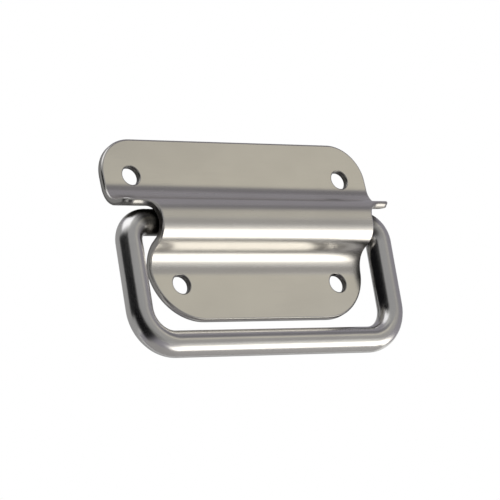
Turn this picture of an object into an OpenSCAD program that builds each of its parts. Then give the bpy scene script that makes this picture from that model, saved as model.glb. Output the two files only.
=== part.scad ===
// Chest handle: a pressed sheet plate that holds a swinging bail bent from round bar.
// The back of the plate lies on y = 0 against the chest, the front faces -Y and +Z is up.
// The origin is on the back face, midway between the two upper screw holes.

/* [Sheet] */
// Thickness of the sheet that the plate is pressed from
sheet_t = 2; // [1.5:0.1:2.5]
// Width of the barrel and of the lower flange
lower_w = 75; // [60:0.5:110]
// Length of each ear, beyond the end of the barrel
ear_len = 9.5; // [8.5:0.1:14]
// Height of the top edge above the upper screw holes
top_margin = 11.5; // [9:0.1:18]
// Depth of the bottom edge below the lower screw holes
bottom_margin = 11; // [8:0.1:18]
// Radius of the two top corners
top_corner_r = 11.5; // [4:0.1:14]
// Radius of the two bottom corners
bottom_corner_r = 16; // [4:0.1:18]

/* [Screw holes] */
// Diameter of the screw holes
hole_d = 5.6; // [4:0.1:7]
// Width of the broken edge round each hole
hole_break = 0.25; // [0.1:0.05:0.5]
// Distance of each hole from the nearest side edge
hole_inset = 9.75; // [7:0.05:14]
// Height of the upper holes above the middle of the barrel's round
upper_row_rise = 17.3; // [16:0.1:26]
// Depth of the lower holes below the middle of the barrel's round
lower_row_drop = 16; // [15:0.1:26]

/* [Pressed section] */
// Gap between the chest's face and the bar inside the barrel
bar_stand = 3.15; // [2.5:0.05:4]
// Running clearance between the bar and the front of the barrel
barrel_clear = 0.4; // [0.3:0.05:0.6]
// Fall of the ledge above the barrel towards the front, for each unit of its length
ledge_fall = 0.28; // [0.2:0.01:0.36]
// Height of the ledge's outer face above the round of the barrel
ledge_lift = 1.55; // [1:0.05:2.5]
// Front radius of the bend from the upper flange to the ledge
upper_bend_r = 6; // [3:0.1:8]
// Outer radius of the brow, the bend from the ledge down the front
brow_r = 5; // [4:0.1:5.5]
// Fall of the web under the barrel towards the back, for each unit of its length
under_fall = 0.28; // [0.2:0.01:0.36]
// Front radius of the bend from that web to the lower flange
lower_bend_r = 6.4; // [4:0.1:7]

/* [Ears] */
// Where the ears stop on the round of the brow, as an angle above the level front
ear_edge_angle = 42; // [34:1:60]
// Rise of the cut that trims the ears and the barrel's ends, for each unit of its length
trim_rise = 0.6; // [0.4:0.05:0.7]
// Radius of the ear tips
ear_tip_r = 3; // [1:0.1:3.5]
// Radius of the inside corner between each ear and the barrel's end
ear_fillet_r = 5; // [2:0.1:5]

/* [Bail] */
// Diameter of the round bar
bar_d = 7.7; // [6:0.1:9]
// Height of the bail's pivot above the middle of the barrel's round
pivot_lift = 0.8; // [0:0.1:1]
// Distance from the pivot to the middle of the grip bar
bail_drop = 35.6; // [30:0.1:60]
// Inside radius of the two shoulder bends, next to the barrel
shoulder_inside_r = 2.1; // [1.8:0.1:5]
// Inside radius of the two grip bends
grip_inside_r = 6.4; // [3:0.1:10]
// Straight length of bar between the barrel's end and the shoulder bend
shoulder_straight = 0.7; // [0.4:0.1:2]
// Gap between the two bar ends inside the barrel
bar_end_gap = 8; // [4:0.5:20]
// Width of the chamfer on the two bar ends
bar_end_chamfer = 0.6; // [0.2:0.1:1]
// How far the bail has slid along the barrel from its middle
side_shift = -1.5; // [-1.5:0.1:1.5]
// Gap between the grip bar and the chest's face when the bail lies back
rest_gap = 0.15; // [0.1:0.05:1]

/* [Hidden] */
$fn = 64;
cut_extra = 1;
upper_w = lower_w + 2 * ear_len;
upper_hole_pitch = upper_w - 2 * hole_inset;
lower_hole_pitch = lower_w - 2 * hole_inset;
barrel_z = -upper_row_rise;
pivot_z = barrel_z + pivot_lift;
lower_row_z = barrel_z - lower_row_drop;
pivot_out = bar_stand + bar_d / 2;
barrel_in_r = bar_d / 2 + barrel_clear;
barrel_r = barrel_in_r + sheet_t;
front_out = pivot_out + barrel_r;

// Centres of the section's bends, as [distance out from the chest, height over the barrel's middle]
ledge_slope = asin(ledge_fall);
under_slope = asin(under_fall);
ledge_height = barrel_r + ledge_lift;
upper_bend = bend_centre(sheet_t + upper_bend_r, ledge_height + upper_bend_r);
brow = bend_centre(front_out - brow_r, ledge_height - brow_r);
ledge_len = (brow - upper_bend) * [cos(ledge_slope), -ledge_fall];
lower_bend_out = sheet_t + lower_bend_r;
lower_bend_drop = barrel_r + lower_bend_r;
under_len = (pivot_out + lower_bend_drop * under_fall - lower_bend_out) / cos(under_slope);
lower_bend_z = -lower_bend_drop * cos(under_slope) - under_len * under_fall;
top_edge = upper_row_rise + top_margin;
bottom_edge = -lower_row_drop - bottom_margin;

// The ears end where the trim cut meets the brow's outer face
ear_edge = brow + brow_r * [cos(ear_edge_angle), sin(ear_edge_angle)];
trim_angle = asin(trim_rise);
trim_dir = [trim_rise, -cos(trim_angle)];
ear_trim = ear_edge * trim_dir;
trim_reach = top_edge - bottom_edge;

shoulder_r = shoulder_inside_r + bar_d / 2;
grip_r = grip_inside_r + bar_d / 2;
arm_x = lower_w / 2 + shoulder_straight + shoulder_r;
rest_lean = asin((bar_stand - rest_gap) / bail_drop);

// Centre of a bend, from its distance out and its height over the barrel as measured square to the ledge
function bend_centre(out, height) =
    [out, (height - (out - pivot_out) * ledge_fall) / cos(ledge_slope)];

// Frames down the section, each at the centre of a bend and placed from the one before it
module at_upper_bend() {
    translate(upper_bend)
    children();
}

module at_ledge() {
    at_upper_bend()
    rotate(-ledge_slope)
    children();
}

module at_brow() {
    at_ledge()
    translate([ledge_len, -upper_bend_r - brow_r])
    rotate(ledge_slope)
    children();
}

module at_barrel() {
    at_brow()
    translate([brow_r - barrel_r, -brow[1]])
    children();
}

module at_under() {
    at_barrel()
    rotate(under_slope)
    children();
}

module at_lower_bend() {
    at_under()
    translate([-under_len, -lower_bend_drop])
    rotate(-under_slope)
    children();
}

// A filled block whose corner towards +X and +Y lies at a given point
module block(corner, size) {
    translate(corner - size)
    square(size);
}

// Everything behind the face that lies at a given depth under the front of the sheet
module behind(depth) {
    fill = upper_bend_r + lower_bend_drop + sheet_t;
    upper_r = upper_bend_r + depth;
    lower_r = lower_bend_r + depth;
    round_r = barrel_r - depth;
    upper_len = top_edge - upper_bend[1] + cut_extra + depth;
    lower_len = lower_bend_z - bottom_edge + cut_extra + depth;
    difference() {
        union() {
            at_upper_bend() {
                block([-upper_r, upper_len], [fill, upper_len + fill]);
                intersection() {
                    block([fill, 0], [2 * fill, fill]);
                    rotate(-ledge_slope)
                    block([0, fill], [fill, 2 * fill]);
                }
            }
            at_ledge()
            block([ledge_len, -upper_r], [ledge_len + upper_r, ledge_height]);
            at_brow()
            circle(brow_r - depth);
            at_barrel() {
                block([round_r, brow[1]], [round_r, brow[1]]);
                circle(round_r);
            }
            at_under()
            block([0, 0], [under_len + lower_r, round_r]);
            at_lower_bend() {
                block([-lower_r, fill], [fill, lower_len + fill]);
                intersection() {
                    block([fill, fill], [2 * fill, fill]);
                    rotate(under_slope)
                    block([0, fill], [fill, 2 * fill]);
                }
            }
        }
        at_upper_bend()
        circle(upper_r);
        at_lower_bend()
        circle(lower_r);
    }
}

// The pressed section as [out from the chest, height over the barrel's middle]
module plate_section() {
    difference() {
        behind(0);
        behind(sheet_t);
    }
}

// Stands a section of [out, height] up, with its length along X
module along_width(length) {
    rotate([90, 0, 90])
    translate([0, 0, -length / 2])
    linear_extrude(length)
    mirror([1, 0])
    children();
}

// The waste of a rounded outer corner at [0, 0], where the sheet lies towards -X and -Y
module corner_waste(r) {
    translate([-r, -r])
    difference() {
        square(r + cut_extra);
        circle(r);
    }
}

// The web left in a filleted inside corner at [0, 0], where the opening lies towards +X and +Y
module corner_web(r) {
    difference() {
        square(r);
        translate([r, r])
        circle(r);
    }
}

// Waste beyond the +X end of the barrel and in front of its ear, as [along X, down the trim's face]
module end_waste() {
    translate([lower_w / 2, ear_trim])
    difference() {
        square([ear_len + cut_extra, trim_reach]);
        corner_web(ear_fillet_r);
    }
    translate([upper_w / 2, ear_trim])
    corner_waste(ear_tip_r);
}

// Cuts both ends of the sheet to the ears, their fillets and the ends of the barrel
module end_cuts() {
    for (side = [0, 1])
        mirror([side, 0, 0])
        translate([0, 0, barrel_z])
        rotate([-90 - trim_angle, 0, 0])
        translate([0, 0, -trim_reach])
        linear_extrude(2 * trim_reach)
        end_waste();
}

// Front outline of the sheet, with the corners of both flanges rounded, as [along X, along Z]
module plate_outline() {
    top = top_margin;
    bottom = lower_row_z - bottom_margin;
    difference() {
        translate([-upper_w / 2, bottom])
        square([upper_w, top - bottom]);
        for (side = [0, 1])
            mirror([side, 0]) {
                translate([upper_w / 2, top])
                corner_waste(top_corner_r);
                translate([lower_w / 2, bottom])
                rotate(-90)
                corner_waste(bottom_corner_r);
            }
    }
}

// A row of two screw holes with broken edges on both faces
module screw_holes(pitch, height) {
    r = hole_d / 2;
    for (side = [-1, 1])
        translate([side * pitch / 2, 0, height])
        rotate([90, 0, 0]) {
            translate([0, 0, -cut_extra])
            cylinder(h = sheet_t + 2 * cut_extra, r = r);
            cylinder(h = hole_break, r1 = r + hole_break, r2 = r);
            translate([0, 0, sheet_t - hole_break])
            cylinder(h = hole_break, r1 = r, r2 = r + hole_break);
        }
}

module mounting_plate() {
    outline_depth = front_out + cut_extra;
    color("silver")
    difference() {
        intersection() {
            translate([0, 0, barrel_z])
            along_width(upper_w + 2 * cut_extra)
            plate_section();
            translate([0, cut_extra, 0])
            rotate([90, 0, 0])
            linear_extrude(outline_depth + cut_extra)
            plate_outline();
        }
        end_cuts();
        screw_holes(upper_hole_pitch, 0);
        screw_holes(lower_hole_pitch, lower_row_z);
    }
}

// A straight length of bar from the origin along +X
module bar(length) {
    rotate([0, 90, 0])
    cylinder(h = length, d = bar_d);
}

// A quarter bend of bar about the origin, in the XZ plane, starting at a given angle from +X
module bar_bend(r, from) {
    rotate([90, 0, 0])
    rotate(from)
    rotate_extrude(angle = 90)
    translate([r, 0])
    circle(d = bar_d);
}

// The half of the bail towards +X, hanging straight down from its pivot
module bail_half() {
    pin_start = bar_end_gap / 2;
    pin_len = arm_x - shoulder_r - pin_start;
    translate([pin_start, 0, 0])
    rotate([0, 90, 0])
    cylinder(h = bar_end_chamfer, d1 = bar_d - 2 * bar_end_chamfer, d2 = bar_d);
    translate([pin_start + bar_end_chamfer, 0, 0])
    bar(pin_len - bar_end_chamfer);
    translate([arm_x - shoulder_r, 0, -shoulder_r])
    bar_bend(shoulder_r, 0);
    translate([arm_x, 0, grip_r - bail_drop])
    cylinder(h = bail_drop - shoulder_r - grip_r, d = bar_d);
    translate([arm_x - grip_r, 0, grip_r - bail_drop])
    bar_bend(grip_r, 270);
}

module bail_handle() {
    grip_len = 2 * (arm_x - grip_r);
    color("gainsboro")
    translate([side_shift, -pivot_out, pivot_z])
    rotate([rest_lean, 0, 0]) {
        for (side = [0, 1])
            mirror([side, 0, 0])
            bail_half();
        translate([-grip_len / 2, 0, -bail_drop])
        bar(grip_len);
    }
}

mounting_plate();
bail_handle();
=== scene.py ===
# %% [markdown]
# # A chest handle in polished stainless steel
# The handle is two pieces: a plate pressed from one sheet, and a bail bent from one round bar
# that turns in the plate's barrel. The imported solids give the frame that everything is built in,
# so they are loaded first.

# %% Load the frame
import math
from itertools import accumulate

import bmesh
import bpy
import numpy as np
from mathutils import Matrix, Vector


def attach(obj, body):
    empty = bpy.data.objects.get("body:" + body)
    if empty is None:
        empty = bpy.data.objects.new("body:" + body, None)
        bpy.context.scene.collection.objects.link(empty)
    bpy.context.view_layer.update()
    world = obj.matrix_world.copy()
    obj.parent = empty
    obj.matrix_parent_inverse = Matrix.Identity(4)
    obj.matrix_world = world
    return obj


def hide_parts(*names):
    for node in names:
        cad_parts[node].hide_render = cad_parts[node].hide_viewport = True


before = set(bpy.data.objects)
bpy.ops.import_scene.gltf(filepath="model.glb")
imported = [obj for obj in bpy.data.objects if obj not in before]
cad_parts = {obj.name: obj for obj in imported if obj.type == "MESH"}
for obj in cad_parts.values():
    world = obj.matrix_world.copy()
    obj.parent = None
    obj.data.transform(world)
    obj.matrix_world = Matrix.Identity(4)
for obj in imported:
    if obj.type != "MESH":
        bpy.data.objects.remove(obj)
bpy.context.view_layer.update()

MM = 0.001


# %% [markdown]
# ## The pressed section
# Seen from its end, the sheet runs down the chest, bends forward into a ledge, rolls over a brow
# into the barrel, and bends back to the chest below it. The solid already has this shape, but a
# polished surface shows every flat of its triangles. So the sheet is made again the way a press
# makes it: a flat blank first, then one bend after another along its length. This cell only
# describes the bends, as straight runs and turns of the front face.

# %% Sizes of the pressed sheet
# millimetres, out from the chest's face and up from the middle of the barrel's round, which lies
# BARREL_DROP under the upper screw holes; FALL is the ledge's fall for each millimetre along it
SHEET = 2.0
BARREL_DROP, PIVOT_OUT, PIVOT_LIFT = 17.3, 7.0, 0.8
TOP_EDGE, BOTTOM_EDGE = 28.8, -27.0
UPPER_BEND_R, BROW_R, BARREL_R, LOWER_BEND_R = 6.0, 5.0, 6.25, 6.4
FALL, LEDGE_HEIGHT = 0.28, 7.8
LEVEL = math.sqrt(1 - FALL**2)
TURN = math.acos(FALL)


def bend_centre(out, height):
    """A bend's centre, from its distance out and its height as measured square to the ledge."""
    return out, (height - (out - PIVOT_OUT) * FALL) / LEVEL


upper_bend = bend_centre(SHEET + UPPER_BEND_R, LEDGE_HEIGHT + UPPER_BEND_R)
brow = bend_centre(PIVOT_OUT + BARREL_R - BROW_R, LEDGE_HEIGHT - BROW_R)
lower_bend_drop = BARREL_R + LOWER_BEND_R
lower_bend_out = SHEET + LOWER_BEND_R
web = (PIVOT_OUT + lower_bend_drop * FALL - lower_bend_out) / LEVEL
lower_bend_height = -lower_bend_drop * LEVEL - web * FALL
ledge = (brow[0] - upper_bend[0]) * LEVEL - (brow[1] - upper_bend[1]) * FALL

# each run is its length along the front face and how far the face turns on it, up being positive
RUNS = [
    (TOP_EDGE - upper_bend[1], 0),
    (UPPER_BEND_R * TURN, TURN),
    (ledge, 0),
    (BROW_R * TURN, -TURN),
    (brow[1], 0),
    (BARREL_R * TURN, -TURN),
    (web, 0),
    (LOWER_BEND_R * TURN, TURN),
    (lower_bend_height - BOTTOM_EDGE, 0),
]
run_ends = list(accumulate(length for length, turn in RUNS))
BLANK_LENGTH = run_ends[-1]
print(f"blank: {BLANK_LENGTH:.2f} mm long, ledge {ledge:.2f} mm, web {web:.2f} mm")

# %% [markdown]
# Walking down those runs gives the point and the tilt of the front face at any distance along the
# blank. A tilt of 0 faces the viewer and a positive one faces up. A turn is an arc of a circle, so
# its points come from the circle's centre and not from many short steps, which would drift.

# %% Walk down the section


def section(along):
    """How far out and up the front face lies and how it is tilted, at distances along the blank."""
    along = np.asarray(along, float)
    out, height, tilt = (np.zeros_like(along) for _ in range(3))
    here, facing, start = np.array([SHEET, TOP_EDGE]), 0.0, 0.0
    for number, (length, turn) in enumerate(RUNS):
        last = number == len(RUNS) - 1
        on = (along >= start) & ((along <= start + length) | last)
        share = np.clip((along[on] - start) / length, 0, 1)
        angle = facing + turn * share
        ends = facing + turn
        if turn:
            radius = length / turn
            centre = here + radius * np.array([math.cos(facing), math.sin(facing)])
            out[on] = centre[0] - radius * np.cos(angle)
            height[on] = centre[1] - radius * np.sin(angle)
            here = centre - radius * np.array([math.cos(ends), math.sin(ends)])
        else:
            out[on] = here[0] + length * share * math.sin(facing)
            height[on] = here[1] - length * share * math.cos(facing)
            here = here + length * np.array([math.sin(facing), -math.cos(facing)])
        tilt[on] = angle
        facing, start = ends, start + length
    return out, height, tilt


end_out, end_height, end_tilt = section([BLANK_LENGTH])
print(f"the section ends {end_out[0]:.3f} mm out at {end_height[0]:.3f} mm, tilted {end_tilt[0]:.4f}")

# %% [markdown]
# ## The blank's outline
# The outline has a rounded top, two ears with small rounded tips, an inside curve where each ear
# meets the barrel's end, and a narrower flange with large round corners. The ears are trimmed by
# one slanting cut after pressing. A boolean could make that cut on the bent mesh, but it would leave
# ragged faces that show in a polish. So that part of the outline is given as a depth under the cut
# and found again on the bent sheet. A sheared edge is rolled over in front and sharper behind,
# so the outline can be had at any inset and depth, from the front face to the back.

# %% Outline of the blank
HALF_TOP, HALF_LOWER = 47.0, 37.5
TOP_CORNER_R, BOTTOM_CORNER_R = 11.5, 16.0
EAR_TIP_R, EAR_FILLET_R = 3.0, 5.0
EAR_EDGE_ANGLE = math.radians(42)
TRIM_RISE = 0.6
TRIM_LEVEL = math.sqrt(1 - TRIM_RISE**2)
EAR_TRIM = TRIM_RISE * (brow[0] + BROW_R * math.cos(EAR_EDGE_ANGLE)) - TRIM_LEVEL * (
    brow[1] + BROW_R * math.sin(EAR_EDGE_ANGLE)
)
CORNER_STEPS, TRIM_STEPS = 20, 4000
BARREL_START = run_ends[4]
trim_walk = np.linspace(0, BARREL_START + BARREL_R * TURN / 2, TRIM_STEPS)


def along_at_trim(trim, depth):
    """How far along the blank a point lies, from its depth under the trimming cut and into the sheet."""
    out, height, tilt = section(trim_walk)
    cut = TRIM_RISE * (out - depth * np.cos(tilt)) - TRIM_LEVEL * (height - depth * np.sin(tilt))
    return np.interp(trim, cut, trim_walk)


def blank_outline(inset, depth):
    """The closed outline as rows of [across, along] and of its outward direction in the sheet."""
    turn = np.linspace(0, math.pi / 2, CORNER_STEPS + 1)
    rise, run = np.sin(turn), np.cos(turn)
    top_r, tip_r = TOP_CORNER_R - inset, EAR_TIP_R - inset
    fillet_r, bottom_r = EAR_FILLET_R + inset, BOTTOM_CORNER_R - inset
    tip_trim = EAR_TRIM - EAR_TIP_R + tip_r * rise
    fillet_trim = EAR_TRIM + EAR_FILLET_R - fillet_r * run
    bottom_along = BLANK_LENGTH - BOTTOM_CORNER_R + bottom_r * rise
    half = np.concatenate([
        np.stack([HALF_TOP - TOP_CORNER_R + top_r * rise, TOP_CORNER_R - top_r * run], 1),
        np.stack([HALF_TOP - EAR_TIP_R + tip_r * run, along_at_trim(tip_trim, depth)], 1),
        np.stack([HALF_LOWER + EAR_FILLET_R - fillet_r * rise, along_at_trim(fillet_trim, depth)], 1),
        np.stack([HALF_LOWER - BOTTOM_CORNER_R + bottom_r * run, bottom_along], 1),
    ])
    facing = np.concatenate([
        np.stack([rise, -run], 1),
        np.stack([run, rise], 1),
        np.stack([rise, run], 1),
        np.stack([run, rise], 1),
    ])
    mirror = np.array([-1, 1])
    outline = np.concatenate([half, (half * mirror)[::-1]])
    return outline, np.concatenate([facing, (facing * mirror)[::-1]])


outline = blank_outline(0, 0)[0]
print(f"outline: {len(outline)} points, {np.ptp(outline[:, 0]):.1f} x {np.ptp(outline[:, 1]):.1f} mm")

# %% [markdown]
# ## Edges and holes
# A punch pulls the front of the sheet down before it cuts, so the front edge of the outline and of
# each screw hole is a small round, and the back edge is only broken. One profile of insets and
# depths describes both. A bevel modifier could round the edges too, but it would round the front
# and the back alike.

# %% Edge profile and screw holes
FRONT_ROLL, BACK_ROLL, HOLE_ROLL, HOLE_BREAK = 0.65, 0.2, 0.45, 0.25
ROLL_STEPS = 6
HOLE_R, HOLE_STEPS = 2.8, 64
UPPER_HOLE_X, LOWER_HOLE_X, BOTTOM_MARGIN = 37.25, 27.75, 11.0
HOLE_ROWS = [(UPPER_HOLE_X, TOP_EDGE - BARREL_DROP), (LOWER_HOLE_X, BLANK_LENGTH - BOTTOM_MARGIN)]
HOLES = [(side * across, along) for across, along in HOLE_ROWS for side in (-1, 1)]


def edge_profile(front_roll, back_roll):
    """Rows of inset, depth, share facing outwards and share facing the back, from front to back."""
    turn = np.linspace(0, math.pi / 2, ROLL_STEPS + 1)
    rise, run = np.sin(turn), np.cos(turn)
    front = np.stack([front_roll * (1 - rise), front_roll * (1 - run), rise, -run], 1)
    back = np.stack([back_roll * (1 - rise), SHEET - back_roll * (1 - run), rise, run], 1)
    return np.concatenate([front, back[::-1]])


def hole_outline(centre, inset):
    """A screw hole's rim and its outward direction, which points into the hole."""
    turn = np.linspace(0, 2 * math.pi, HOLE_STEPS, endpoint=False)
    ring = np.stack([np.cos(turn), np.sin(turn)], 1)
    return np.array(centre) + (HOLE_R + inset) * ring, -ring


print("screw holes at", [(across, round(along, 2)) for across, along in HOLES])

# %% [markdown]
# ## The flat blank as a solid
# The blank is a thin slab with four screw holes. Its faces are filled from the outlines, and a
# strip joins each outline to the next one, which makes the rolled edge. Blender could work out
# smooth normals from the faces, but the long triangles of a flat would then carry the shading of
# its edges far into it. So every vertex remembers the direction that it faces while the slab is
# flat: that is easy to say here, and after bending it gives exact normals, so that the flats stay
# flat in a reflection and only the bends curve.

# %% Build the slab
slab = bmesh.new()
flat_facing = slab.verts.layers.float_vector.new("flat_facing")
rim_share = slab.verts.layers.float.new("rim_share")
bore_share = slab.verts.layers.float.new("bore_share")


def add_rim(profile, outline_at, bore):
    """Adds the strips of one edge, of a bore or not, to the slab and returns its front and back edges."""
    rings = []
    for inset, depth, outward, backward in profile:
        points, facing = outline_at(inset, depth)
        ring = []
        for (across, along), (face_x, face_y) in zip(points, facing):
            vert = slab.verts.new((across, along, depth))
            vert[flat_facing] = Vector((face_x * outward, face_y * outward, backward))
            vert[rim_share], vert[bore_share] = outward, outward * bore
            ring.append(vert)
        rings.append(ring)
    for near, far in zip(rings, rings[1:]):
        for i in range(len(near)):
            j = (i + 1) % len(near)
            slab.faces.new((near[i], near[j], far[j], far[i]))
    ends = (rings[0], rings[-1])
    return [[slab.edges.get(pair) for pair in zip(ring, ring[1:] + ring[:1])] for ring in ends]


front_edges, back_edges = add_rim(edge_profile(FRONT_ROLL, BACK_ROLL), blank_outline, False)
for centre in HOLES:
    front_ring, back_ring = add_rim(
        edge_profile(HOLE_ROLL, HOLE_BREAK), lambda inset, depth: hole_outline(centre, inset), True)
    front_edges, back_edges = front_edges + front_ring, back_edges + back_ring
for edges in (front_edges, back_edges):
    bmesh.ops.triangle_fill(slab, use_beauty=True, edges=edges)
print(f"slab: {len(slab.verts)} vertices, {len(slab.faces)} faces")

# %% [markdown]
# ## Bending the blank
# A bend needs rows of edges to follow its curve, and a flat needs none. So the slab is cut across
# at small steps in and close to each bend only. A subdivision surface would cut the flats as well,
# and would soften the edges of the holes.

# %% Cut rows in the bends
ROWS_PER_BEND = 40
EASE = 1.6
start = 0.0
for length, turn in RUNS:
    if turn:
        for row in np.linspace(start - EASE, start + length + EASE, ROWS_PER_BEND + 1):
            everything = slab.verts[:] + slab.edges[:] + slab.faces[:]
            bmesh.ops.bisect_plane(slab, geom=everything, dist=1e-5, plane_co=(0, row, 0), plane_no=(0, 1, 0))
    start += length

blank_points = np.array([v.co for v in slab.verts])
blank_facing = np.array([v[flat_facing] for v in slab.verts])
blank_rim = np.array([v[rim_share] for v in slab.verts])
blank_bore = np.array([v[bore_share] for v in slab.verts])
print(f"cut blank: {len(blank_points)} vertices")

# %% [markdown]
# Now every vertex moves to its place on the section: across stays as it is, the distance along
# picks the point and tilt, and the depth goes straight back from the front face. A Simple Deform
# modifier could bend the slab too, but one bend at a time, and it would work the normals out anew.
# Here the remembered directions turn by the tilt averaged over a short way along the sheet. A press
# never leaves a sharp line where a flat meets a bend, and the average eases one into the other in
# the reflections without moving the surface.

# %% Press the plate
EASE_SAMPLES = 17


def on_plate(points):
    """Points of the blank, as across, along and depth, in their places on the pressed plate."""
    out, height, tilt = section(points[:, 1])
    forward, up = out - points[:, 2] * np.cos(tilt), height - points[:, 2] * np.sin(tilt)
    return np.stack([points[:, 0], -forward, up - BARREL_DROP], 1) * MM


def eased_tilt(along):
    """The front face's tilt, averaged over a short way up and down the blank."""
    spread = np.linspace(-EASE, EASE, EASE_SAMPLES)
    return np.mean([section(np.clip(along + off, 0, BLANK_LENGTH))[2] for off in spread], 0)


plate_points = on_plate(blank_points)
tilt = eased_tilt(blank_points[:, 1])
none = np.zeros_like(tilt)
down_the_face = np.stack([none, -np.sin(tilt), -np.cos(tilt)], 1)
into_the_sheet = np.stack([none, np.cos(tilt), -np.sin(tilt)], 1)
plate_facing = np.stack([blank_facing[:, 0], none, none], 1) + blank_facing[:, 1:2] * down_the_face
plate_facing += blank_facing[:, 2:3] * into_the_sheet
plate_facing /= np.linalg.norm(plate_facing, axis=1)[:, None]
for vert, point in zip(slab.verts, plate_points):
    vert.co = point
bmesh.ops.recalc_face_normals(slab, faces=slab.faces[:])
plate_mesh = bpy.data.meshes.new("pressed_plate")
slab.to_mesh(plate_mesh)
slab.free()
print("pressed plate, size in mm:", [round(v, 2) for v in np.ptp(plate_points, axis=0) / MM])

# %% [markdown]
# The mesh becomes an object that takes the solid's place and rides on the plate's body. Its
# vertices keep their places on the flat blank as an attribute, and its finish reads them later. A
# UV map could hold them too, but it has two numbers for each vertex, and the finish also needs the
# depth in the sheet.

# %% Plate as an object


def finish_mesh(mesh, name, facing, attributes):
    """Smooth mesh object with given normals and the point attributes that its finish reads."""
    mesh.shade_smooth()
    mesh.normals_split_custom_set_from_vertices([tuple(f) for f in facing])
    for title, values in attributes.items():
        kind = "FLOAT_VECTOR" if values.ndim == 2 else "FLOAT"
        layer = mesh.attributes.new(title, kind, "POINT")
        layer.data.foreach_set("vector" if values.ndim == 2 else "value", values.astype(np.float32).ravel())
    piece = bpy.data.objects.new(name, mesh)
    bpy.context.scene.collection.objects.link(piece)
    return piece


plate_marks = {"blank": blank_points, "rim": blank_rim, "bore": blank_bore}
plate = finish_mesh(plate_mesh, "pressed_plate", plate_facing, plate_marks)
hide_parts("mounting_plate")
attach(plate, "plate")
print(f"pressed plate: {len(plate_mesh.vertices)} vertices, {len(plate_mesh.polygons)} faces")

# %% [markdown]
# ## The bail
# The bail is one length of round bar with four bends: two tight shoulders where it leaves the
# barrel and two wider bends at the grip. It could be a bevelled curve, but a curve's own bevel
# gives no say in its normals or in where the bends' rings lie. So a ring of points is carried
# along the bar's centre line. Each point keeps its place on the straight bar as an attribute,
# so that the drawn grain follows the bends.

# %% Centre line of the bail
BAR_R = 3.85
ARM_X, BAIL_DROP, SIDE_SHIFT = 44.15, 35.6, -1.5
SHOULDER_R, GRIP_R = 5.95, 10.25
BAR_END_GAP, END_CHAMFER = 8.0, 0.6
GRIP_SETBACK = 3.0
REST_LEAN = math.asin(GRIP_SETBACK / BAIL_DROP)
BEND_STEPS, STRAIGHT_STEPS = 28, 12
BAIL_RUNS = [
    (ARM_X - SHOULDER_R - BAR_END_GAP / 2, 0),
    (SHOULDER_R * math.pi / 2, SHOULDER_R),
    (BAIL_DROP - SHOULDER_R - GRIP_R, 0),
    (GRIP_R * math.pi / 2, GRIP_R),
    (2 * (ARM_X - GRIP_R), 0),
]
BAIL_RUNS += BAIL_RUNS[-2::-1]


def centre_line():
    """Rows of x, z, heading and length along the bar, from the end of the right pin to that of the left."""
    x, z, heading, gone = BAR_END_GAP / 2, 0.0, 0.0, 0.0
    rows = []
    for length, radius in BAIL_RUNS:
        steps = BEND_STEPS if radius else STRAIGHT_STEPS
        for share in np.linspace(0, 1, steps + 1)[bool(rows):]:
            turned = share * math.pi / 2 if radius else 0.0
            if radius:
                px = x + radius * (math.sin(heading + turned) - math.sin(heading))
                pz = z - radius * (math.cos(heading) - math.cos(heading + turned))
            else:
                px, pz = x + share * length * math.cos(heading), z - share * length * math.sin(heading)
            rows.append((px, pz, heading + turned, gone + share * length))
        x, z, heading, gone = px, pz, heading + turned, gone + length
    return np.array(rows)


bail_line = centre_line()
line_at = bail_line[:, 3]
bar_length = line_at[-1]
print(f"bail: {bar_length:.1f} mm of bar, ending at x {bail_line[-1, 0]:.2f}, z {bail_line[-1, 1]:.4f}")

# %% [markdown]
# The two sawn ends lie inside the barrel. One flat face could close each of them, but a bar that is
# to turn in a barrel has its sharp edges taken off. So a few smaller rings make a chamfer and a face
# inside it. The bar is then a list of stations, and each has a distance along the bar, a radius and
# a lean of its normals towards the far end.

# %% Stations along the bar
CHAMFER_ROUND = 0.08


def end_rings():
    """Rows of distance from the bar's end, radius and lean of the normal towards that end."""
    face_r = BAR_R - END_CHAMFER
    chamfer_lean = math.sqrt(0.5)
    return [
        (0.0, 0.0, 1.0),
        (0.0, face_r - CHAMFER_ROUND, 1.0),
        (CHAMFER_ROUND, face_r + CHAMFER_ROUND, chamfer_lean),
        (END_CHAMFER - CHAMFER_ROUND, BAR_R - CHAMFER_ROUND, chamfer_lean),
        (END_CHAMFER + CHAMFER_ROUND, BAR_R, 0.0),
    ]


end_length = END_CHAMFER + CHAMFER_ROUND
full_round = line_at[(line_at > end_length) & (line_at < bar_length - end_length)]
stations = [(at, radius, -lean) for at, radius, lean in end_rings()]
stations += [(at, BAR_R, 0.0) for at in full_round]
stations += [(bar_length - at, radius, lean) for at, radius, lean in reversed(end_rings())]
print(f"bar: {len(stations)} stations")

# %% [markdown]
# A ring of points goes round the bar at each station, and four-sided faces join each ring to the
# next. The bail is swept hanging straight down, and then leans back until its grip almost touches
# the chest.

# %% Sweep the bar
RING_STEPS = 64
ring_turn = np.linspace(0, 2 * math.pi, RING_STEPS, endpoint=False)
points, facing, straight = [], [], []
front = np.array([0, -1.0, 0])
for at, radius, lean in stations:
    x, z, heading = (np.interp(at, line_at, bail_line[:, k]) for k in range(3))
    ahead = np.array([math.cos(heading), 0, -math.sin(heading)])
    outside = np.array([math.sin(heading), 0, math.cos(heading)])
    for turn in ring_turn:
        round_the_bar = math.cos(turn) * outside + math.sin(turn) * front
        points.append(np.array([x, 0, z]) + radius * round_the_bar)
        facing.append(lean * ahead + math.sqrt(1 - lean * lean) * round_the_bar)
        straight.append((radius * math.cos(turn), radius * math.sin(turn), at))
hang = np.array(Matrix.Rotation(REST_LEAN, 3, "X"))
pivot = np.array([SIDE_SHIFT, -PIVOT_OUT, PIVOT_LIFT - BARREL_DROP])
points = (np.array(points) @ hang.T + pivot) * MM
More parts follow.
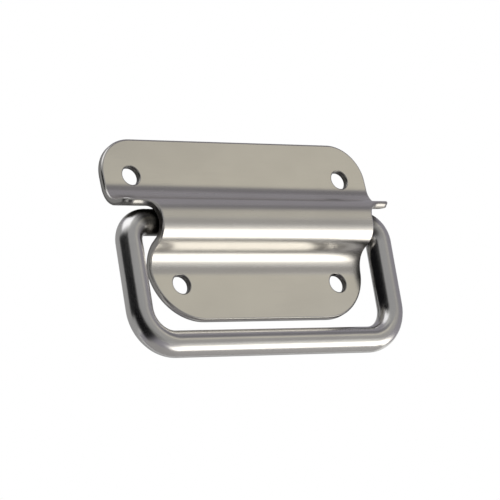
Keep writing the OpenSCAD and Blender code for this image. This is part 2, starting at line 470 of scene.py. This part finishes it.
facing = np.array(facing) @ hang.T
quads = []
for row in range(len(stations) - 1):
    near, far = row * RING_STEPS, (row + 1) * RING_STEPS
    for i in range(RING_STEPS):
        j = (i + 1) % RING_STEPS
        quads.append((near + i, near + j, far + j, far + i))
bail_mesh = bpy.data.meshes.new("bent_bail")
bail_mesh.from_pydata([tuple(p) for p in points], [], quads)
bail = finish_mesh(bail_mesh, "bent_bail", facing, {"bar": np.array(straight)})
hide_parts("bail_handle")
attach(bail, "bail")
print(f"bent bail: {len(bail_mesh.vertices)} vertices, {len(bail_mesh.polygons)} faces")

# %% [markdown]
# ## Writing finishes as sums
# A finish is a net of nodes, but it reads best as a formula. A small class wraps a socket, so that
# adding or multiplying two of them adds the Math node that does it.

# %% Sockets that can be added and multiplied


class Wave:
    """A socket's value, for use in an expression."""

    def __init__(self, finish, socket):
        self.finish, self.socket = finish, socket

    def math(self, operation, first, second):
        """The value of a new Math node that works on two others."""
        return self.finish.node("ShaderNodeMath", {"operation": operation}, {0: first, 1: second})

    def __add__(self, other):
        return self.math("ADD", self, other)

    def __radd__(self, other):
        return self.math("ADD", other, self)

    def __sub__(self, other):
        return self.math("SUBTRACT", self, other)

    def __rsub__(self, other):
        return self.math("SUBTRACT", other, self)

    def __mul__(self, other):
        return self.math("MULTIPLY", self, other)

    def __rmul__(self, other):
        return self.math("MULTIPLY", other, self)


print("sockets can now be added, subtracted and multiplied")

# %% [markdown]
# One method adds any other kind of node: first its settings, then the values or links of its
# sockets. Noise, a smooth step and a mix of two colours are needed so often that each gets a short
# name of its own.

# %% A finish and its nodes


class Finish:
    """A material or a world, and the nodes that make it."""

    def __init__(self, data):
        data.use_nodes = True
        self.tree = data.node_tree
        self.data = data

    def node(self, kind, settings=None, sockets=None, output=0):
        """A new node with its settings and sockets, as the value of one of its outputs."""
        made = self.tree.nodes.new(kind)
        for name, value in (settings or {}).items():
            setattr(made, name, value)
        for key, value in (sockets or {}).items():
            self.feed(made.inputs[key], value)
        return Wave(self, made.outputs[output])

    def feed(self, socket, value):
        """Links a value to a socket, or sets a plain number or colour on it."""
        if isinstance(value, Wave):
            self.tree.links.new(value.socket, socket)
        else:
            socket.default_value = value

    def surface(self, **sockets):
        """Feeds the surface shader's sockets by name."""
        shader = self.tree.nodes["Principled BSDF"]
        for name, value in sockets.items():
            self.feed(shader.inputs[name.replace("_", " ")], value)

    def noise(self, place, stretch, detail=2.0):
        """Noise over a place in millimetres, with its own number of cycles for each millimetre and axis."""
        spread = self.node("ShaderNodeVectorMath", {"operation": "MULTIPLY"}, {0: place, 1: stretch})
        return self.node("ShaderNodeTexNoise", {}, {"Vector": spread, "Scale": 1.0, "Detail": detail})

    def step(self, value, low, high):
        """0 below low, 1 above high and a smooth rise between them."""
        settings = {"interpolation_type": "SMOOTHSTEP"}
        return self.node("ShaderNodeMapRange", settings, {"Value": value, "From Min": low, "From Max": high})

    def mix(self, share, first, second):
        """A colour between two others."""
        return self.node("ShaderNodeMix", {"data_type": "RGBA"}, {0: share, 6: first, 7: second}, output=2)


print("finish nodes ready")

# %% [markdown]
# ## The plate's finish
# The sheet is stainless steel with a bright rolled finish: nearly a mirror, with a fine grain that
# runs along the sheet's width and bends with it, because it was rolled before it was pressed.
# Pressing stretches the bends and leaves them a little less bright than the flats. On the sheared
# edge the punch leaves a smooth band next to the front and a torn, duller band behind it. The edge
# is darker than the faces, partly from the sheared metal's own dullness and partly as painted
# shade. The back was never polished. Painted shade darkens the bores of the screw holes and the
# hollow side of the barrel, where shade falls. A picture of rolled steel could be laid on, but it
# would have seams and repeats, and noise has neither. The noise and the masks all read the flat
# blank's own coordinates, so that every mark stays on the sheet as it bends.

# %% Masks on the sheet
TEAR_START, TEAR_FULL = 1.15, 1.45
BACK_START, BACK_FULL = 1.9, 1.99
FLAT_END, UPPER_BEND_END = run_ends[:2]
WEB_END, LOWER_BEND_END = run_ends[6:8]
plate_finish = Finish(bpy.data.materials.new("plate_steel"))
blank_place = plate_finish.node("ShaderNodeAttribute", {"attribute_name": "blank"}, output=1)
along = plate_finish.node("ShaderNodeSeparateXYZ", {}, {0: blank_place}, output=1)
depth = plate_finish.node("ShaderNodeSeparateXYZ", {}, {0: blank_place}, output=2)
rim = plate_finish.node("ShaderNodeAttribute", {"attribute_name": "rim"}, output=2)
bore = plate_finish.node("ShaderNodeAttribute", {"attribute_name": "bore"}, output=2)
grain = plate_finish.noise(blank_place, (0.05, 7.0, 1.0), detail=3.0)
cloud = plate_finish.noise(blank_place, (0.06, 0.09, 0.1))
rub = plate_finish.step(plate_finish.noise(blank_place, (0.09, 2.2, 1.0)), 0.62, 0.75)
tear_marks = plate_finish.noise(blank_place, (6.0, 6.0, 0.4))
torn = plate_finish.step(depth, TEAR_START, TEAR_FULL) * rim
behind = plate_finish.step(depth, BACK_START, BACK_FULL) * (1 - rim)
past_flat = plate_finish.step(along, FLAT_END - 1, FLAT_END + 3)
past_bends = plate_finish.step(along, LOWER_BEND_END - 3, LOWER_BEND_END + 1)
bent = past_flat * (1 - past_bends)
past_upper_bend = plate_finish.step(along, UPPER_BEND_END - 2, UPPER_BEND_END + 2)
past_web = plate_finish.step(along, WEB_END - 2, WEB_END + 2)
# the hollow side of the barrel, which gets painted shade below
inside = behind * past_upper_bend * (1 - past_web)
print("masks on the sheet:", len(plate_finish.tree.nodes), "nodes")

# %% [markdown]
# The masks are then added up. Roughness rises with the grain, the bends and the torn edge, and the
# colour goes from polished steel over the darker sheared edge, partly painted shade, to the painted
# shade in the bores and the barrel's hollow.

# %% Polished sheet
SHEET_LIGHT, SHEET_DARK = (0.735, 0.715, 0.675, 1), (0.705, 0.685, 0.645, 1)
# the sheared edge's own duller colour, made darker still as painted shade
SHEARED_AND_SHADE = (0.25, 0.243, 0.232, 1)
# painted shade for the screw holes' bores, the barrel's hollow side and the bail's pins
PAINTED_SHADE = (0.05, 0.046, 0.04, 1)
BUMP_DEPTH = 0.00001
plate_roughness = 0.17 + 0.04 * grain + 0.02 * cloud + 0.03 * rub + 0.08 * bent
plate_roughness = plate_roughness + torn * (0.2 + 0.15 * tear_marks) + 0.12 * behind + 0.2 * inside
tone = plate_finish.step(cloud + 0.2 * grain, 0.35, 0.85)
polished = plate_finish.mix(tone, SHEET_LIGHT, SHEET_DARK)
# edges drawn towards the darker colour, partly the sheared metal's own dullness and partly painted shade; the
# unpolished back a little
worn_and_shaded = plate_finish.mix(0.55 * rim + torn * 0.35 + 0.2 * behind, polished, SHEARED_AND_SHADE)
# painted shade in the bores of the screw holes and on the barrel's hollow side
plate_with_painted_shade = plate_finish.mix(0.9 * inside + 0.85 * bore, worn_and_shaded, PAINTED_SHADE)
plate_height = 0.5 * grain + torn * tear_marks * 4.0
plate_bump = plate_finish.node(
    "ShaderNodeBump", {}, {"Strength": 0.12, "Distance": BUMP_DEPTH, "Height": plate_height})
plate_finish.surface(Base_Color=plate_with_painted_shade, Metallic=1.0, Roughness=plate_roughness, Normal=plate_bump)
plate.data.materials.append(plate_finish.data)
print("plate finish:", len(plate_finish.tree.nodes), "nodes")

# %% [markdown]
# ## The bail's finish
# The bar is drawn through a die, so its grain runs along its length, and it is then polished almost
# as bright as the sheet. Inside the barrel and at the shoulders it has rubbed on the sheet as it
# swung, which leaves fine rings round the bar. Painted shade darkens the two pins, most of it near
# the barrel's mouths, and the crook of each shoulder bend, where shade falls. The masks read the
# distance from the nearer end of the bar, so one formula serves both pins.

# %% Masks on the bar
PIN_LENGTH = BAIL_RUNS[0][0]
bail_finish = Finish(bpy.data.materials.new("bail_steel"))
bar_place = bail_finish.node("ShaderNodeAttribute", {"attribute_name": "bar"}, output=1)
to_outside = bail_finish.node("ShaderNodeSeparateXYZ", {}, {0: bar_place}, output=0)
bar_along = bail_finish.node("ShaderNodeSeparateXYZ", {}, {0: bar_place}, output=2)
from_end = bail_finish.node(
    "ShaderNodeMath", {"operation": "MINIMUM"}, {0: bar_along, 1: bar_length - bar_along})
drawn = bail_finish.noise(bar_place, (4.0, 4.0, 0.04), detail=3.0)
bar_cloud = bail_finish.noise(bar_place, (0.15, 0.15, 0.06))
pins = 1 - bail_finish.step(from_end, PIN_LENGTH - 1.0, PIN_LENGTH + 2.0)
rings = bail_finish.noise(bar_place, (0.15, 0.15, 5.0), detail=3.0) * pins
near_mouth = bail_finish.step(from_end, PIN_LENGTH - 18, PIN_LENGTH - 7)
# painted shade on the pins, darkest near the barrel's mouths
pin_shade = (0.55 + 0.41 * near_mouth) * (1 - bail_finish.step(from_end, PIN_LENGTH + 1.5, PIN_LENGTH + 5))
# painted shade on the inner side of each shoulder bend's crook
crook = near_mouth * (1 - bail_finish.step(from_end, PIN_LENGTH + 4, PIN_LENGTH + 10))
crook = 0.95 * crook * (1 - bail_finish.step(to_outside, -2.8, 0.4))
bar_shade_share = bail_finish.node("ShaderNodeMath", {"operation": "MAXIMUM"}, {0: pin_shade, 1: crook})
print("masks on the bar:", len(bail_finish.tree.nodes), "nodes")

# %% [markdown]
# The sum is shorter than the sheet's, because a drawn bar has no sheared edge and no raw side.

# %% Polished bar
BAR_LIGHT, BAR_DARK, RUBBED = (0.735, 0.725, 0.70, 1), (0.70, 0.69, 0.67, 1), (0.56, 0.55, 0.53, 1)
bail_roughness = 0.2 + 0.05 * drawn + 0.02 * bar_cloud + 0.1 * rings
bar_tone = bail_finish.step(bar_cloud + 0.2 * drawn, 0.35, 0.85)
bar_polish = bail_finish.mix(bar_tone, BAR_LIGHT, BAR_DARK)
bar_worn = bail_finish.mix(rings * 0.4, bar_polish, RUBBED)
# painted shade on the pins and in the shoulder crooks
bar_colour = bail_finish.mix(bar_shade_share, bar_worn, PAINTED_SHADE)
bail_height = 0.5 * drawn + rings
bail_bump = bail_finish.node(
    "ShaderNodeBump", {}, {"Strength": 0.1, "Distance": BUMP_DEPTH, "Height": bail_height})
bail_finish.surface(Base_Color=bar_colour, Metallic=1.0, Roughness=bail_roughness, Normal=bail_bump)
bail.data.materials.append(bail_finish.data)
print("bail finish:", len(bail_finish.tree.nodes), "nodes")

# %% [markdown]
# ## The camera
# The photograph was taken with a long lens from the left and a little below, with the camera
# rolled. The camera's place and its three directions come from fitting the plate's outline and its
# holes. They could be set as angles, but a roll is easier to read as directions.

# %% Camera
CAMERA_PLACE = Vector((-0.4147, -0.5550, -0.2372))
CAMERA_RIGHT = Vector((0.8205, -0.5336, -0.2050))
CAMERA_UP = Vector((-0.0014, -0.3605, 0.9327))
CAMERA_BACK = Vector((-0.5716, -0.7651, -0.2965))
SENSOR, LENS = 36.0, 178.3
camera_data = bpy.data.cameras.new("camera")
camera_data.sensor_width, camera_data.lens = SENSOR, LENS
camera = bpy.data.objects.new("camera", camera_data)
camera_turn = Matrix((CAMERA_RIGHT, CAMERA_UP, CAMERA_BACK)).transposed().to_4x4()
camera.matrix_world = Matrix.Translation(CAMERA_PLACE) @ camera_turn
bpy.context.scene.collection.objects.link(camera)
bpy.context.scene.camera = camera
print("camera at", [round(v, 3) for v in camera.matrix_world.translation])

# %% [markdown]
# ## The studio
# Polished steel has hardly any colour of its own: it shows the room. The room is made with three
# helpers: a flat rectangle, a place that faces the handle from a given side, and a card that
# glows. Lamps could shine on plain boards instead, but a card that glows needs no lamp, and the
# steel shows it just as bright as it is set. The cards are hidden from the camera, so they never
# stand in a view. Most of their edges fade out, as those of a soft light do.

# %% Helpers for cards
scene = bpy.context.scene
scene.view_settings.view_transform = "Standard"
UNLIT = (0, 0, 0, 1)


def plane(name, width, height, place):
    """A flat rectangle that faces along its own +Z."""
    mesh = bpy.data.meshes.new(name)
    x, y = width / 2, height / 2
    mesh.from_pydata([(-x, -y, 0), (x, -y, 0), (x, y, 0), (-x, y, 0)], [], [(0, 1, 2, 3)])
    made = bpy.data.objects.new(name, mesh)
    made.matrix_world = place
    scene.collection.objects.link(made)
    return made


def facing_handle(azimuth, elevation, distance):
    """Place of a card that faces the handle from a given side."""
    a, e = math.radians(azimuth), math.radians(elevation)
    side = Vector((math.sin(a) * math.cos(e), -math.cos(a) * math.cos(e), math.sin(e)))
    return Matrix.Translation(side * distance) @ side.to_track_quat("-Z", "Y").to_matrix().to_4x4()


def card(name, place, width, height, colour, soft=0.0, one_sided=False):
    """A glowing card, seen only in reflections.

    Its edges fade out over the width given as soft, so that its mirror image has no hard line.
    A one-sided card is clear from behind, so that only the surface it faces mirrors it.
    """
    made = plane(name, width, height, place)
    made.visible_camera = made.visible_diffuse = made.visible_shadow = False
    glow = Finish(bpy.data.materials.new(name))
    shown = 1.0
    if soft:
        on_card = glow.node("ShaderNodeTexCoord", output="Object")
        for axis, size in (("X", width), ("Y", height)):
            off_centre = glow.node("ShaderNodeSeparateXYZ", {}, {0: on_card}, output=axis)
            off_centre = glow.node("ShaderNodeMath", {"operation": "ABSOLUTE"}, {0: off_centre})
            shown = shown * (1 - glow.step(off_centre, size / 2 - soft, size / 2))
    if one_sided:
        shown = shown * (1 - glow.node("ShaderNodeNewGeometry", output="Backfacing"))
    glow.surface(Base_Color=UNLIT, Specular_IOR_Level=0.0, Alpha=shown)
    glow.surface(Emission_Color=(*colour, 1), Emission_Strength=1.0)
    made.data.materials.append(glow.data)


print("view transform:", scene.view_settings.view_transform)

# %% [markdown]
# The room is a white world, a pale floor far below and a list of plain cards: grey walls all round
# with lighter and darker patches before them, a warm card that the flat faces mirror, a black flag
# on the left that draws the dark line down each arm, a soft box above the left shoulder, and a
# white panel low on the right that makes the bright bands on the barrel and the grip. Four small
# cards stand close to the handle: a shade that carries the dark line round the lower left bend, a
# grey strip under the grip that keeps its bright band narrow, a shade behind the lower flange's
# right edge, and one beside the right arm that keeps its inner side dark. A picture of a room could
# be mirrored instead, but with cards each band on the steel can be moved by itself.

# %% Floor and cards
FLOOR_Z, FLOOR_SIZE = -1.3, 60.0
floor = plane("floor", FLOOR_SIZE, FLOOR_SIZE, Matrix.Translation((0, 0, FLOOR_Z)))
floor_finish = Finish(bpy.data.materials.new("floor"))
floor_finish.surface(Base_Color=(0.82, 0.82, 0.81, 1), Roughness=0.9, Specular_IOR_Level=0.1)
floor.data.materials.append(floor_finish.data)

WALL, DIM, BLACK = (0.38, 0.38, 0.385), (0.295, 0.285, 0.32), (0.006, 0.006, 0.007)
# name, azimuth and elevation in degrees, distance, width and height in metres, colour and soft edge
CARDS = [
    ("wall_front", -8, 10, 1.3, 2.6, 2.6, WALL),
    ("wall_right", 80, 14, 1.4, 2.2, 2.6, DIM),
    ("wall_back", 180, 14, 1.4, 2.8, 2.6, WALL),
    ("wall_left", -110, 14, 1.4, 2.4, 2.6, WALL),
    ("grey_base", 0, -90, 1.28, 3.6, 3.6, DIM),
    ("ceiling", 90, 75, 1.3, 3.0, 2.4, DIM),
    ("bright_front", -10, 44, 1.1, 1.5, 0.7, (0.52, 0.52, 0.51), 0.3),
    ("dim_front", -8, -26, 1.0, 0.9, 0.6, (0.22, 0.22, 0.21), 0.25),
    ("soft_box", -58, 62, 0.9, 1.1, 0.8, (1.4, 1.4, 1.45), 0.2),
    ("dim_strip", 44, 34, 0.95, 0.9, 0.4, (0.19, 0.185, 0.205), 0.12),
    ("low_wall", 36, -2, 0.95, 0.7, 0.44, (0.40, 0.39, 0.38), 0.1),
    ("warm_card", 36.8, 17.3, 0.9, 0.40, 0.26, (0.67, 0.64, 0.555), 0.06),
    ("black_flag", -74, 11, 0.6, 1.0, 0.5, BLACK, 0.1),
    ("bend_shade", -70, -38, 0.085, 0.046, 0.05, BLACK, 0.01),
    ("panel_glow", 48, -30, 0.98, 0.8, 0.6, (0.85, 0.825, 0.78), 0.26),
    ("low_right", 112, -46, 0.98, 0.9, 0.7, (0.45, 0.44, 0.43), 0.2),
    ("white_panel", 66, -48, 0.9, 1.1, 1.04, (2.3, 2.24, 2.13), 0.25),
    ("under_grip", 180, -87, 0.0751, 0.13, 0.036, (0.36, 0.35, 0.35), 0.004),
]
for name, azimuth, elevation, distance, *look in CARDS:
    card(name, facing_handle(azimuth, elevation, distance), *look)

FACING_RIGHT = Matrix.Rotation(math.pi / 2, 4, "Y")
# name, middle, length down the handle and depth in metres, soft edge and whether it is one-sided
SHADES = [
    ("edge_shade", (0.036, 0.0062, -0.032), 0.044, 0.0115, 0.001, False),
    ("arm_shade", (0.037, -0.0063, -0.0275), 0.030, 0.0086, 0.0015, True),
]
for name, middle, length, deep, soft, one_sided in SHADES:
    card(name, Matrix.Translation(middle) @ FACING_RIGHT, length, deep, BLACK, soft, one_sided)
print("studio: floor and", len(CARDS) + len(SHADES), "cards")

# %% [markdown]
# The world is white to the camera and in reflections, and a little dimmer where it lights the
# floor. One soft lamp above gives the floor its shadow.

# %% World and lamp
WHITE = (1, 1, 1, 1)
LAMP_SIZE, LAMP_POWER = 0.8, 6.0
world = bpy.data.worlds.new("white")
scene.world = world
sky = Finish(world)
seen_by = ("Is Camera Ray", "Is Glossy Ray", "Is Transmission Ray")
seen = sum(sky.node("ShaderNodeLightPath", output=ray) for ray in seen_by)
background = sky.tree.nodes["Background"]
sky.feed(background.inputs["Color"], WHITE)
sky.feed(background.inputs["Strength"], 0.9 + 0.1 * seen)
lamp_data = bpy.data.lights.new("soft_lamp", "AREA")
lamp_data.size, lamp_data.energy = LAMP_SIZE, LAMP_POWER
lamp = bpy.data.objects.new("soft_lamp", lamp_data)
lamp.location = (-0.3, -0.3, 1.0)
lamp.rotation_euler = (0.3, -0.3, 0)
lamp.visible_glossy = False
scene.collection.objects.link(lamp)
print("world and lamp ready")
